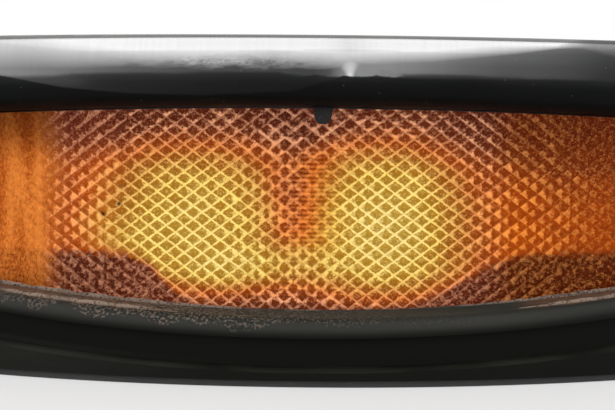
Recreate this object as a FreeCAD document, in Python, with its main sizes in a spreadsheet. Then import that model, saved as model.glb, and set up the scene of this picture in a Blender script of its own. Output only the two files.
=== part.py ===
import FreeCAD, Part
import math
import os
import Sketcher
from FreeCAD import Placement, Rotation, Vector

# Illuminated roof sign of a taxi cab: a hollow black hood with a rounded visor over a curved amber lens,
# on a moulded base with a rounded sill, two bayonet bulbs in a trough reflector behind the lens.
# Millimetres. +Z up, the lens faces -Y, +X is to the right as the lens is seen.
# The origin is on the underside of the base gasket, at the middle of its length and depth.

os.makedirs("parts", exist_ok=True)
doc = FreeCAD.newDocument("roof_sign")

# Driving dimensions. A bow is a level that rises from the middle towards both sides on one large radius.
# The tool sizes at the end are the reach of the blocks and bars that only cut or trim.
SIZES = {
    "hood_half_front": 210.0,
    "hood_half_tail": 158.0,
    "hood_front": 131.0,
    "hood_tail": 131.0,
    "hood_top": 139.0,
    "hood_wall": 3.0,
    "front_radius": 466.0,
    "tail_radius": 300.0,
    "corner_front": 50.0,
    "corner_tail": 70.0,
    "visor_round": 14.0,
    "visor_lip_round": 12.5,
    "shoulder_round": 45.0,
    "roof_bend": -35.0,
    "roof_radius": 235.0,
    "lip_level": 110.0,
    "lip_arch_radius": 3250.0,
    "window_half": 150.0,
    "window_corner": 14.0,
    "lens_radius": 450.0,
    "lens_thick": 3.5,
    "flange_radius": 442.0,
    "flange_thick": 2.0,
    "flange_width": 5.0,
    "lens_gap": 0.6,
    "clip_x": 4.0,
    "clip_width": 8.6,
    "clip_drop": 7.0,
    "clip_thick": 1.6,
    "clip_round": 2.5,
    "bow_radius": 1200.0,
    "gasket_thick": 3.0,
    "flange_level": 6.0,
    "rim_under": 18.5,
    "sill_level": 26.0,
    "sill_round": 5.5,
    "seat_level": 19.0,
    "slot_clear": 0.3,
    "hood_seal_thick": 1.5,
    "upstand_level": 40.0,
    "floor_top": 6.0,
    "rim_proud": 6.0,
    "base_proud": 12.0,
    "gasket_proud": 10.0,
    "gasket_width": 15.0,
    "upstand_gap": 0.3,
    "sleeve_clear": 0.3,
    "upstand_thick": 4.0,
    "trough_radius": 44.0,
    "trough_front": 88.0,
    "trough_half": 144.0,
    "trough_rim_radius": 438.0,
    "trough_level": 70.0,
    "sheet_thick": 1.0,
    "bulb_offset": 46.0,
    "bulb_glass_radius": 12.5,
    "bulb_neck_radius": 6.5,
    "bulb_glass_wall": 0.8,
    "bulb_centre_y": -80.0,
    "bulb_cap_radius": 7.5,
    "bulb_cap_front": -66.0,
    "bulb_cap_length": 16.0,
    "holder_radius": 9.5,
    "holder_bore": 7.7,
    "holder_front": -62.0,
    "holder_length": 34.0,
    "bracket_thick": 2.0,
    "bracket_half": 72.0,
    "bracket_height": 24.0,
    "bracket_leg_width": 18.0,
    "bracket_foot": 20.0,
    "bolt_x": 260.0,
    "bolt_y": 110.0,
    "bolt_centre_y": 10.0,
    "bolt_hole_radius": 2.5,
    "insert_radius": 5.0,
    "insert_length": 12.0,
    "boss_radius": 9.0,
    "boss_top": 18.0,
    "cable_y": 70.0,
    "cable_hole_radius": 8.0,
    "cable_bore_radius": 4.0,
    "grommet_lip": 3.0,
    "grommet_lip_thick": 2.0,
    "grommet_nose": 6.0,
    "screw_front_y": -20.0,
    "screw_rear_y": 45.0,
    "screw_head_radius": 4.5,
    "screw_head_rise": 2.2,
    "screw_shank_radius": 2.0,
    "screw_shank_length": 9.0,
    "screw_rise": 8.0,
    "screw_clear": 0.05,
    "tool_length": 800.0,
    "tool_low": -30.0,
    "tool_height": 300.0,
    "window_tool_depth": 120.0,
    "window_tool_back": -60.0,
}

sheet = doc.addObject("Spreadsheet::Sheet", "sizes")
for row, (alias, value) in enumerate(SIZES.items(), start=1):
    sheet.set(f"A{row}", alias)
    sheet.set(f"B{row}", str(value))
    sheet.setAlias(f"B{row}", alias)
doc.recompute()


def size(alias):
    """A driving dimension as the sheet holds it."""
    return float(getattr(sheet, alias))


def bind(thing, prop, expression):
    """Tie a property to the sheet; every name in the expression that is a size is looked up there."""
    words = expression.split(" ")
    thing.setExpression(prop, " ".join(f"sizes.{word}" if word in SIZES else word for word in words))


def eval_offset(offset):
    """The value in mm of an offset expression: sizes and numbers joined by + and - signs."""
    total, sign = 0.0, 1.0
    for word in offset.split():
        if word in ("+", "-"):
            sign = 1.0 if word == "+" else -1.0
        else:
            total += sign * (size(word) if word in SIZES else float(word))
            sign = 1.0
    return total


parts = {}
UPWARD = Vector(0, 0, 1)
BACKWARD = Vector(0, 1, 0)
FORWARD = Vector(0, -1, 0)
SIDEWAYS = Vector(1, 0, 0)

# How near, in mm, two figures are when an edge is picked by its place.
SAME = 0.01
NEAR = 0.05
LOOSE = 0.5


def keep(thing, label):
    """Name a finished piece; its label is its file name."""
    thing.Label = label
    parts[label] = thing
    return thing


def box(name, length, width, height, x, y, z):
    """A block from expressions for its three sides and its lowest corner."""
    block = doc.addObject("Part::Box", name)
    for prop, expression in (("Length", length), ("Width", width), ("Height", height)):
        bind(block, prop, expression)
    for axis, expression in (("x", x), ("y", y), ("z", z)):
        bind(block, f"Placement.Base.{axis}", expression)
    return block


def cylinder(name, radius, height, x, y, z, direction=UPWARD):
    """A round bar from expressions; direction turns its axis, which starts at x, y, z."""
    bar = doc.addObject("Part::Cylinder", name)
    bar.Placement = Placement(Vector(), Rotation(UPWARD, direction))
    bind(bar, "Radius", radius)
    bind(bar, "Height", height)
    for axis, expression in (("x", x), ("y", y), ("z", z)):
        bind(bar, f"Placement.Base.{axis}", expression)
    return bar


def join(kind, name, shapes):
    """A boolean of several shapes: Part::MultiFuse or Part::MultiCommon."""
    result = doc.addObject(kind, name)
    result.Shapes = shapes
    doc.recompute()
    return result


def cut(name, base, tool):
    """One shape less another."""
    result = doc.addObject("Part::Cut", name)
    result.Base = base
    result.Tool = tool
    doc.recompute()
    return result


def plane(body, role):
    """The origin plane of a body, by its role."""
    return next(feature for feature in body.Origin.OriginFeatures if feature.Role == role)


def sketch_on(body, role, name, offset=None):
    """A sketch on an origin plane of a body, moved along the plane's normal where offset is given."""
    sketch = body.newObject("Sketcher::SketchObject", name)
    sketch.AttachmentSupport = [(plane(body, role), "")]
    sketch.MapMode = "FlatFace"
    if offset is not None:
        bind(sketch, "AttachmentOffset.Base.z", offset)
    return sketch


def settle(sketch, rules):
    """Add driven constraints at the values that they will have, then bind them."""
    for kind, name, where, value, expression in rules:
        index = sketch.addConstraint(Sketcher.Constraint(kind, *where, value))
        sketch.renameConstraint(index, name)
        bind(sketch, f"Constraints.{name}", expression)


def upright_edges(shape):
    """Names and y of the straight edges that run along Z."""
    found = []
    for index, edge in enumerate(shape.Edges, start=1):
        low, high = edge.Vertexes[0].Point, edge.Vertexes[-1].Point
        if math.hypot(low.x - high.x, low.y - high.y) < SAME and abs(low.z - high.z) > LOOSE:
            found.append((f"Edge{index}", low.y))
    return found


def outline_block(name, offset, low, height):
    """A block in the plan of the sign: a front arc, two sides that draw in to the tail and a tail arc,
    with its four corners rounded. offset grows the hood's own outline outwards."""
    grow = eval_offset(offset)
    body = doc.addObject("PartDesign::Body", name)
    sketch = sketch_on(body, "XY_Plane", f"{name}_plan", low)
    half_front, half_tail = size("hood_half_front") + grow, size("hood_half_tail") + grow
    front_centre = size("front_radius") - size("hood_front")
    tail_centre = size("hood_tail") - size("tail_radius")
    front_radius, tail_radius = size("front_radius") + grow, size("tail_radius") + grow
    front_angle = math.asin(half_front / front_radius)
    tail_angle = math.asin(half_tail / tail_radius)
    front_y = front_centre - front_radius * math.cos(front_angle)
    tail_y = tail_centre + tail_radius * math.cos(tail_angle)
    sketch.addGeometry(
        Part.ArcOfCircle(
            Part.Circle(Vector(0, front_centre, 0), UPWARD, front_radius),
            -math.pi / 2 - front_angle,
            -math.pi / 2 + front_angle,
        )
    )
    sketch.addGeometry(Part.LineSegment(Vector(half_front, front_y, 0), Vector(half_tail, tail_y, 0)))
    sketch.addGeometry(
        Part.ArcOfCircle(
            Part.Circle(Vector(0, tail_centre, 0), UPWARD, tail_radius),
            math.pi / 2 - tail_angle,
            math.pi / 2 + tail_angle,
        )
    )
    sketch.addGeometry(Part.LineSegment(Vector(-half_tail, tail_y, 0), Vector(-half_front, front_y, 0)))
    for first, first_end, second, second_end in ((0, 2, 1, 1), (1, 2, 2, 1), (2, 2, 3, 1), (3, 2, 0, 1)):
        sketch.addConstraint(Sketcher.Constraint("Coincident", first, first_end, second, second_end))
    sketch.addConstraint(Sketcher.Constraint("PointOnObject", 0, 3, -2))
    sketch.addConstraint(Sketcher.Constraint("PointOnObject", 2, 3, -2))
    settle(
        sketch,
        (
            ("Radius", "front", (0,), front_radius, f"front_radius + {offset}"),
            ("Radius", "tail", (2,), tail_radius, f"tail_radius + {offset}"),
            ("DistanceY", "front_centre", (-1, 1, 0, 3), front_centre, "front_radius - hood_front"),
            ("DistanceY", "tail_centre", (2, 3, -1, 1), -tail_centre, "tail_radius - hood_tail"),
            ("DistanceX", "right_front", (-1, 1, 1, 1), half_front, f"hood_half_front + {offset}"),
            ("DistanceX", "left_front", (3, 2, -1, 1), half_front, f"hood_half_front + {offset}"),
            ("DistanceX", "right_tail", (-1, 1, 1, 2), half_tail, f"hood_half_tail + {offset}"),
            ("DistanceX", "left_tail", (3, 1, -1, 1), half_tail, f"hood_half_tail + {offset}"),
        ),
    )
    pad = body.newObject("PartDesign::Pad", f"{name}_pad")
    pad.Profile = sketch
    bind(pad, "Length", height)
    doc.recompute()
    last = pad
    for ends, corner, wanted_y in (("front", "corner_front", front_y), ("tail", "corner_tail", tail_y)):
        edges = [edge for edge, y in upright_edges(last.Shape) if abs(y - wanted_y) < LOOSE]
        rounding = body.newObject("PartDesign::Fillet", f"{name}_{ends}_corners")
        rounding.Base = (last, edges)
        bind(rounding, "Radius", f"{corner} + {offset}")
        doc.recompute()
        last = rounding
    body.Tip = last
    return body


def bow(name, level):
    """The space over a bow level: a large round bar along Y whose lowest line is at that level."""
    height = f"{level} + bow_radius"
    return cylinder(name, "bow_radius", "tool_length", "0", "tool_length / 2", height, FORWARD)


def front_disc(name, radius, low, height):
    """An upright round bar about the centre of the front curves, which the lens shares."""
    return cylinder(name, radius, height, "0", "front_radius - hood_front", low)


def window_block(name, grow, low):
    """A block through the front wall in the outline of the window: straight sides down to low,
    two rounded top corners and an arched top edge."""
    half = size("window_half") + eval_offset(grow)
    sides = box(
        f"{name}_sides",
        f"2 * ( window_half + {grow} )",
        "window_tool_depth",
        f"lip_level + {grow} - ( {low} )",
        f"0 - window_half - ( {grow} )",
        "window_tool_back - window_tool_depth",
        low,
    )
    arch = cylinder(
        f"{name}_arch",
        f"lip_arch_radius + {grow}",
        "tool_length",
        "0",
        "0",
        "lip_level - lip_arch_radius",
        FORWARD,
    )
    block = join("Part::MultiCommon", f"{name}_square", [sides, arch])
    corners = []
    for index, edge in enumerate(block.Shape.Edges, start=1):
        first, last = edge.Vertexes[0].Point, edge.Vertexes[-1].Point
        along_y = math.hypot(first.x - last.x, first.z - last.z) < SAME
        if along_y and first.z > size("lip_level") / 2 and abs(abs(first.x) - half) < SAME:
            corners.append(index)
    rounding = doc.addObject("Part::Fillet", name)
    rounding.Base = block
    corner = size("window_corner") + eval_offset(grow)
    rounding.Edges = [(index, corner, corner) for index in corners]
    doc.recompute()
    return rounding


def hood_solid(name, offset, lip_grow, recess_radius):
    """The hood as a solid block, its faces moved outwards by offset: plan outline, a roof that bends down
    to the tail, round shoulders, and the window's recess with a round lip under the visor."""
    grow = eval_offset(offset)
    block = outline_block(f"{name}_block", offset, "0", f"hood_top + {offset}")
    front_part = box(
        f"{name}_roof_front",
        "tool_length",
        "tool_length / 2 + roof_bend",
        f"hood_top + {offset} + 5",
        "0 - tool_length / 2",
        "0 - tool_length / 2",
        "0",
    )
    rear_part = cylinder(
        f"{name}_roof_rear",
        f"roof_radius + {offset}",
        "tool_length",
        "0 - tool_length / 2",
        "roof_bend",
        "hood_top - roof_radius",
        SIDEWAYS,
    )
    roof = join("Part::MultiFuse", f"{name}_roof", [front_part, rear_part])
    bent = join("Part::MultiCommon", f"{name}_bent", [block, roof])

    def on_front(point, slack):
        centre_y = size("front_radius") - size("hood_front")
        reach = math.hypot(point.x, point.y - centre_y)
        return abs(reach - size("front_radius") - grow) < slack

    brow = []
    for index, edge in enumerate(bent.Shape.Edges, start=1):
        first, last = (edge.valueAt(place) for place in (edge.FirstParameter, edge.LastParameter))
        across = abs(first.y - last.y) < SAME and abs(first.x + last.x) < SAME
        seam = across and abs(first.y - size("roof_bend")) < LOOSE
        upright = math.hypot(first.x - last.x, first.y - last.y) < SAME
        if min(first.z, last.z) < size("upstand_level") or seam or upright:
            continue
        radii = [
            size("visor_round" if point.y < size("roof_bend") + LOOSE else "shoulder_round") + grow
            for point in (first, last)
        ]
        brow.append((index, *radii))
    rounded = doc.addObject("Part::Fillet", f"{name}_rounded")
    rounded.Base = bent
    rounded.Edges = brow
    doc.recompute()

    window = window_block(f"{name}_window", lip_grow, "tool_low")
    core = front_disc(f"{name}_core", recess_radius, "tool_low", "tool_height")
    recess = cut(f"{name}_recess", window, core)
    recessed = cut(f"{name}_recessed", rounded, recess)
    lip = []
    half = size("window_half") + eval_offset(lip_grow)
    for index, edge in enumerate(recessed.Shape.Edges, start=1):
        middle = edge.valueAt((edge.FirstParameter + edge.LastParameter) / 2)
        inside = abs(middle.x) < half + LOOSE and middle.z < size("lip_level") + eval_offset(lip_grow) + LOOSE
        if inside and on_front(middle, LOOSE) and middle.z > size("gasket_thick"):
            lip.append(index)
    lipped = doc.addObject("Part::Fillet", name)
    lipped.Base = recessed
    lip_round = size("visor_lip_round") + grow
    lipped.Edges = [(index, lip_round, lip_round) for index in lip]
    doc.recompute()
    return lipped


def ring(name, outer_radius, inner_radius):
    """An upright ring about the centre of the front curves."""
    outer_disc = front_disc(f"{name}_outside", outer_radius, "tool_low", "tool_height")
    inner_disc = front_disc(f"{name}_inside", inner_radius, "2 * tool_low", "tool_height - 2 * tool_low")
    return cut(name, outer_disc, inner_disc)


def bow_height(x, level):
    """The height of a bow at a distance from the middle."""
    radius = size("bow_radius")
    return level + radius - math.sqrt(radius**2 - x**2)


def side_screws():
    """Name, place on the hood's outer wall and outward direction of each hood screw."""
    front_centre = size("front_radius") - size("hood_front")
    tail_centre = size("hood_tail") - size("tail_radius")
    half_front, half_tail = size("hood_half_front"), size("hood_half_tail")
    front_y = front_centre - math.sqrt(size("front_radius") ** 2 - half_front**2)
    tail_y = tail_centre + math.sqrt(size("tail_radius") ** 2 - half_tail**2)
    slope = (half_front - half_tail) / (tail_y - front_y)
    for end, y in (("front", size("screw_front_y")), ("rear", size("screw_rear_y"))):
        x = half_front - slope * (y - front_y)
        z = bow_height(x, size("sill_level")) + size("screw_rise")
        for side, sign in (("left", -1), ("right", 1)):
            yield f"hood_screw_{end}_{side}", Vector(sign * x, y, z), Vector(sign, slope, 0).normalize()


def drill(name, target, holes):
    """Cut several round holes, each a radius, a length, a start and a direction, from a shape."""
    bars = []
    for number, (radius, length, start, direction) in enumerate(holes):
        bar = doc.addObject("Part::Cylinder", f"{name}_bar_{number}")
        bind(bar, "Radius", radius)
        bar.Height = length
        bar.Placement = Placement(start, Rotation(UPWARD, direction))
        bars.append(bar)
    tool = join("Part::MultiFuse", f"{name}_bars", bars) if len(bars) > 1 else bars[0]
    return cut(name, target, tool)


screw_depth = size("screw_shank_length") * 2
screw_holes = []
for _, place, direction in side_screws():
    start = place - direction * (screw_depth - size("hood_wall"))
    screw_holes.append(("screw_shank_radius + screw_clear", screw_depth, start, direction))

# The hood: an outer form less an inner one, its foot on a bow level, and its window.
hood_outer = hood_solid("hood_outer", "0", "0", "flange_radius")
hood_inner = hood_solid("hood_inner", "0 - hood_wall", "hood_wall", "flange_radius - flange_thick")
hood_walls = cut("hood_walls", hood_outer, hood_inner)
hood_foot = bow("hood_foot", "sill_level + hood_seal_thick")
hood_raised = join("Part::MultiCommon", "hood_raised", [hood_walls, hood_foot])
hood_opening = window_block("hood_opening", "0 - flange_width", "tool_low")
hood_open = cut("hood_open", hood_raised, hood_opening)
keep(drill("hood_drilled", hood_open, screw_holes), "hood_shell")

# The bead under the hood's foot, on the base all round except across the window.
bead_high = bow("bead_high", "sill_level + hood_seal_thick")
bead_band = join("Part::MultiCommon", "bead_band", [hood_walls, bow("bead_low", "sill_level")])
bead_trimmed = cut("bead_trimmed", bead_band, bead_high)
keep(cut("bead", bead_trimmed, window_block("bead_gap", "0", "tool_low")), "hood_seal")

# The base: a flange, an apron set back over it, a proud rim with the rounded sill, and an upstand
# inside the hood, all on one outline, with a hollow for the lamp and a slot for the lens.
flange_block = outline_block("flange_block", "base_proud", "gasket_thick", "tool_height")
flange = cut("flange", flange_block, bow("flange_top", "flange_level"))
apron_block = outline_block("apron_block", "0", "gasket_thick", "tool_height")
apron = cut("apron", apron_block, bow("apron_top", "rim_under + 1"))
rim_block = outline_block("rim_block", "rim_proud", "0", "tool_height")
rim_lower = join("Part::MultiCommon", "rim_lower", [rim_block, bow("rim_bottom", "rim_under")])
rim_band = cut("rim_band", rim_lower, bow("rim_top", "sill_level"))


def rim_edges(shape):
    """The upper outer edges of the rim, which lie on the sill's bow."""
    found = []
    for index, edge in enumerate(shape.Edges, start=1):
        span = edge.LastParameter - edge.FirstParameter
        points = [edge.valueAt(edge.FirstParameter + span * share) for share in (0, 0.5, 1)]
        if all(abs(point.z - bow_height(point.x, size("sill_level"))) < NEAR for point in points):
            found.append(index)
    return found


rim = doc.addObject("Part::Fillet", "rim")
rim.Base = rim_band
rim.Edges = [(index, size("sill_round"), size("sill_round")) for index in rim_edges(rim_band.Shape)]
doc.recompute()

upstand_block = outline_block("upstand_block", "0 - hood_wall - upstand_gap", "gasket_thick", "tool_height")
upstand_level = cut("upstand_level", upstand_block, bow("upstand_top", "upstand_level"))
upstand_gap = window_block("upstand_gap", "hood_wall + visor_lip_round + sleeve_clear", "sill_level")
upstand_sides = cut("upstand_sides", upstand_level, upstand_gap)
bosses = [
    cylinder(
        f"boss_{end}_{side}",
        "boss_radius",
        "boss_top - gasket_thick",
        f"{sign} * bolt_x / 2",
        f"bolt_centre_y {along} bolt_y / 2",
        "gasket_thick",
    )
    for end, along in (("front", "-"), ("rear", "+"))
    for side, sign in (("left", "-1"), ("right", "1"))
]
hollow_block = outline_block(
    "hollow_block", "0 - hood_wall - upstand_gap - upstand_thick", "floor_top", "tool_height"
)
hollow_front = front_disc("hollow_front", "flange_radius", "tool_low", "2 * tool_height")
hollow = join("Part::MultiCommon", "hollow", [hollow_block, hollow_front])
hollow_clear = cut("hollow_clear", hollow, join("Part::MultiFuse", "bosses", bosses))
slot_box = box(
    "slot_box",
    "2 * window_half",
    "window_tool_depth",
    "tool_height",
    "0 - window_half",
    "window_tool_back - window_tool_depth",
    "0",
)
slot_ring = ring("slot_ring", "lens_radius + slot_clear", "flange_radius - 1")
slot = join("Part::MultiCommon", "slot", [slot_box, slot_ring, bow("slot_floor", "seat_level")])
base_solid = join("Part::MultiFuse", "base_solid", [flange, apron, rim, upstand_sides])
base_hollow = cut("base_hollow", base_solid, join("Part::MultiFuse", "base_spaces", [hollow_clear, slot]))
bolt_places = []
for end, along in (("front", -1), ("rear", 1)):
    for side, sign in (("left", -1), ("right", 1)):
        y = size("bolt_centre_y") + along * size("bolt_y") / 2
        bolt_places.append((f"{end}_{side}", Vector(sign * size("bolt_x") / 2, y, 0)))
bush_depth = size("gasket_thick") + size("insert_length")
base_holes = [("insert_radius", bush_depth, place, UPWARD) for _, place in bolt_places]
base_holes.append(("cable_hole_radius", size("boss_top"), Vector(0, size("cable_y"), 0), UPWARD))
keep(drill("base_drilled", base_hollow, base_holes + screw_holes), "base_moulding")

# The gasket that the sign stands on: a flat ring under the flange.
gasket_outer = outline_block("gasket_outer", "gasket_proud", "0", "gasket_thick")
gasket_inner = outline_block("gasket_inner", "gasket_proud - gasket_width", "tool_low", "tool_height")
keep(cut("gasket", gasket_outer, gasket_inner), "base_gasket")

# The lens: a curved amber pane that stands in the base's slot and fills the window.
lens_outline = window_block("lens_outline", "0 - lens_gap", "0")
lens_ring = ring("lens_ring", "lens_radius", "lens_radius - lens_thick")
lens_foot = bow("lens_foot", "seat_level")
keep(join("Part::MultiCommon", "lens_pane", [lens_outline, lens_ring, lens_foot]), "lens")

# The rubber frame between the lens and the hood's inner flange.
seal_outline = window_block("seal_outline", "0 - lens_gap", "0")
seal_ring = ring("seal_ring", "lens_radius - lens_thick", "flange_radius")
seal_foot = bow("seal_foot", "seat_level")
seal_plate = join("Part::MultiCommon", "seal_plate", [seal_outline, seal_ring, seal_foot])
seal_opening = join(
    "Part::MultiCommon",
    "seal_opening",
    [
        window_block("seal_inside", "0 - flange_width - lens_gap", "0"),
        bow("seal_step", "seat_level + flange_width"),
    ],
)
keep(cut("seal_frame", seal_plate, seal_opening), "lens_seal")

# The small clip over the lens, under the middle of the visor.
clip_block = box(
    "clip_block",
    "clip_width",
    "window_tool_depth",
    "clip_drop",
    "clip_x - clip_width / 2",
    "window_tool_back - window_tool_depth",
    "lip_level - clip_drop",
)
clip_ring = ring("clip_ring", "lens_radius + clip_thick", "lens_radius")
clip_square = join("Part::MultiCommon", "clip_square", [clip_block, clip_ring])
clip = doc.addObject("Part::Fillet", "clip")
clip.Base = clip_square
clip.Edges = [
    (index, size("clip_round"), size("clip_round"))
    for index, edge in enumerate(clip_square.Shape.Edges, start=1)
    if max(vertex.Z for vertex in edge.Vertexes) < size("lip_level") - size("clip_drop") + SAME
    and abs(edge.Vertexes[0].X - edge.Vertexes[-1].X) < size("clip_width") / 2
]
doc.recompute()
keep(clip, "lens_clip")


def trough_form(name, grow):
    """The reflector's form as a solid: round at the back, straight towards the lens, level ends."""
    back = cylinder(
        f"{name}_back",
        f"trough_radius + {grow}",
        f"2 * trough_half + 2 * {grow}",
        f"0 - trough_half - {grow}",
        "0 - trough_front",
        "trough_level",
        SIDEWAYS,
    )
    front = box(
        f"{name}_front",
        f"2 * trough_half + 2 * {grow}",
        "trough_radius",
        f"2 * trough_radius + 2 * {grow}",
        f"0 - trough_half - {grow}",
        "0 - trough_front - trough_radius",
        f"trough_level - trough_radius - {grow}",
    )
    return join("Part::MultiFuse", name, [back, front])


# The trough reflector behind the bulbs, of painted sheet.
trough_outer = trough_form("trough_outer", "sheet_thick")
trough_walls = cut("trough_walls", trough_outer, trough_form("trough_inner", "0"))
trough_rim = front_disc("trough_rim", "trough_rim_radius", "tool_low", "tool_height")
trough = join("Part::MultiCommon", "trough", [trough_walls, trough_rim])
lamps = (("left", -1), ("right", 1))
holder_places = [
    Vector(sign * size("bulb_offset"), size("holder_front"), size("trough_level")) for _, sign in lamps
]
trough_holes = [
    ("holder_radius + sleeve_clear", size("trough_radius"), place, BACKWARD) for place in holder_places
]
keep(drill("trough_drilled", trough, trough_holes), "reflector")

# The steel bracket that stands on the base's floor and carries both bulb holders.
bracket_y = "trough_radius + sheet_thick - trough_front"
bracket_bar = box(
    "bracket_bar",
    "2 * bracket_half",
    "bracket_thick",
    "bracket_height",
    "0 - bracket_half",
    bracket_y,
    "trough_level - bracket_height / 2",
)
bracket_pieces = [bracket_bar]
for side, start in (("left", "0 - bracket_half"), ("right", "bracket_half - bracket_leg_width")):
    bracket_pieces.append(
        box(
            f"bracket_leg_{side}",
            "bracket_leg_width",
            "bracket_thick",
            "trough_level - floor_top",
            start,
            bracket_y,
            "floor_top",
        )
    )
    bracket_pieces.append(
        box(
            f"bracket_foot_{side}",
            "bracket_leg_width",
            "bracket_foot",
            "bracket_thick",
            start,
            bracket_y,
            "floor_top",
        )
    )
bracket_whole = join("Part::MultiFuse", "bracket_whole", bracket_pieces)
bracket_holes = [("holder_radius", size("trough_radius"), place, BACKWARD) for place in holder_places]
keep(drill("bracket_drilled", bracket_whole, bracket_holes), "lamp_bracket")


def lamp(side, sign):
    """A bayonet bulb in its holder, lying along Y."""
    x = f"{sign} * bulb_offset"
    body = cylinder(
        f"holder_body_{side}", "holder_radius", "holder_length", x, "holder_front", "trough_level", BACKWARD
    )
    bore = cylinder(
        f"holder_bore_{side}",
        "holder_bore",
        "bulb_cap_front + bulb_cap_length - holder_front",
        x,
        "holder_front",
        "trough_level",
        BACKWARD,
    )
    keep(cut(f"holder_{side}", body, bore), f"bulb_holder_{side}")
    cap = cylinder(
        f"cap_{side}", "bulb_cap_radius", "bulb_cap_length", x, "bulb_cap_front", "trough_level", BACKWARD
    )
    keep(cap, f"bulb_cap_{side}")
    forms = []
    for skin, grow in (("outside", "0"), ("inside", "0 - bulb_glass_wall")):
        ball = doc.addObject("Part::Sphere", f"ball_{skin}_{side}")
        bind(ball, "Radius", f"bulb_glass_radius + {grow}")
        for axis, expression in (("x", x), ("y", "bulb_centre_y"), ("z", "trough_level")):
            bind(ball, f"Placement.Base.{axis}", expression)
        neck = cylinder(
            f"neck_{skin}_{side}",
            f"bulb_neck_radius + {grow}",
            "bulb_cap_front - bulb_centre_y",
            x,
            "bulb_centre_y",
            "trough_level",
            BACKWARD,
        )
        forms.append(join("Part::MultiFuse", f"envelope_{skin}_{side}", [ball, neck]))
    keep(cut(f"envelope_{side}", *forms), f"bulb_glass_{side}")


for side, sign in lamps:
    lamp(side, sign)


def turned(name, points, label):
    """A body turned about its Z axis from a closed outline of radius and height pairs."""
    body = doc.addObject("PartDesign::Body", name)
    sketch = sketch_on(body, "XZ_Plane", f"{name}_outline")
    corners = [Vector(eval_offset(radius), eval_offset(level), 0) for radius, level in points]
    for first, last in zip(corners, corners[1:] + corners[:1]):
        sketch.addGeometry(Part.LineSegment(first, last))
    count = len(points)
    for number in range(count):
        sketch.addConstraint(Sketcher.Constraint("Coincident", number, 2, (number + 1) % count, 1))
    for number, (radius, level) in enumerate(points):
        corner = corners[number]
        settle(
            sketch,
            (
                ("DistanceX", f"radius_{number}", (-1, 1, number, 1), corner.x, radius),
                ("DistanceY", f"level_{number}", (-1, 1, number, 1), corner.y, level),
            ),
        )
    revolution = body.newObject("PartDesign::Revolution", f"{name}_turned")
    revolution.Profile = sketch
    revolution.ReferenceAxis = (sketch, ["V_Axis"])
    revolution.Angle = 360
    doc.recompute()
    return keep(body, label)


# The captive threaded bushes in the base's bosses.
for spot, place in bolt_places:
    bush = turned(
        f"bush_{spot}",
        (
            ("bolt_hole_radius", "gasket_thick"),
            ("insert_radius", "gasket_thick"),
            ("insert_radius", "gasket_thick + insert_length"),
            ("bolt_hole_radius", "gasket_thick + insert_length"),
        ),
        f"mount_insert_{spot}",
    )
    bush.Placement = Placement(place, Rotation())

# The rubber grommet in the floor, where a cable would come in.
grommet = turned(
    "grommet",
    (
        ("cable_bore_radius", "gasket_thick - grommet_lip_thick"),
        ("cable_hole_radius + grommet_lip", "gasket_thick - grommet_lip_thick"),
        ("cable_hole_radius + grommet_lip", "gasket_thick"),
        ("cable_hole_radius", "gasket_thick"),
        ("cable_hole_radius", "floor_top"),
        ("cable_hole_radius + grommet_lip", "floor_top"),
        ("cable_hole_radius + grommet_lip", "floor_top + grommet_lip_thick"),
        ("cable_hole_radius - 1", "floor_top + grommet_lip_thick + grommet_nose"),
        ("cable_bore_radius", "floor_top + grommet_lip_thick + grommet_nose"),
    ),
    "cable_grommet",
)
grommet.Placement = Placement(Vector(0, size("cable_y"), 0), Rotation())

# The screws that hold the hood to the upstand, two on each side, heads outwards.
for label, place, direction in side_screws():
    screw = turned(
        f"{label}_body",
        (
            ("0", "0 - screw_shank_length"),
            ("screw_shank_radius", "0 - screw_shank_length"),
            ("screw_shank_radius", "0"),
            ("screw_head_radius", "0"),
            ("screw_head_radius - 1", "screw_head_rise - 0.6"),
            ("screw_head_radius - 2", "screw_head_rise"),
            ("0", "screw_head_rise"),
        ),
        label,
    )
    screw.Placement = Placement(place, Rotation(UPWARD, direction))

doc.recompute()
for thing in doc.Objects:
    if "Invalid" in thing.State or "Error" in thing.State:
        raise RuntimeError(f"{thing.Name} failed: {thing.State}")
for label, thing in parts.items():
    shape = thing.Shape
    if shape.isNull() or not shape.isValid() or not shape.Solids:
        raise RuntimeError(f"{label} has no valid solid")
    shape.exportStep(f"parts/{label}.step")
    reach = shape.optimalBoundingBox()
    print(
        f"{label:28s} solids {len(shape.Solids)} volume {shape.Volume:10.1f}",
        [round(value, 1) for value in (reach.XMin, reach.YMin, reach.ZMin)],
        [round(value, 1) for value in (reach.XMax, reach.YMax, reach.ZMax)],
    )
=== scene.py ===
import math

import bmesh
import bpy
from bpy.props import FloatProperty, FloatVectorProperty, PointerProperty
from mathutils import Matrix, Vector, noise


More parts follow.
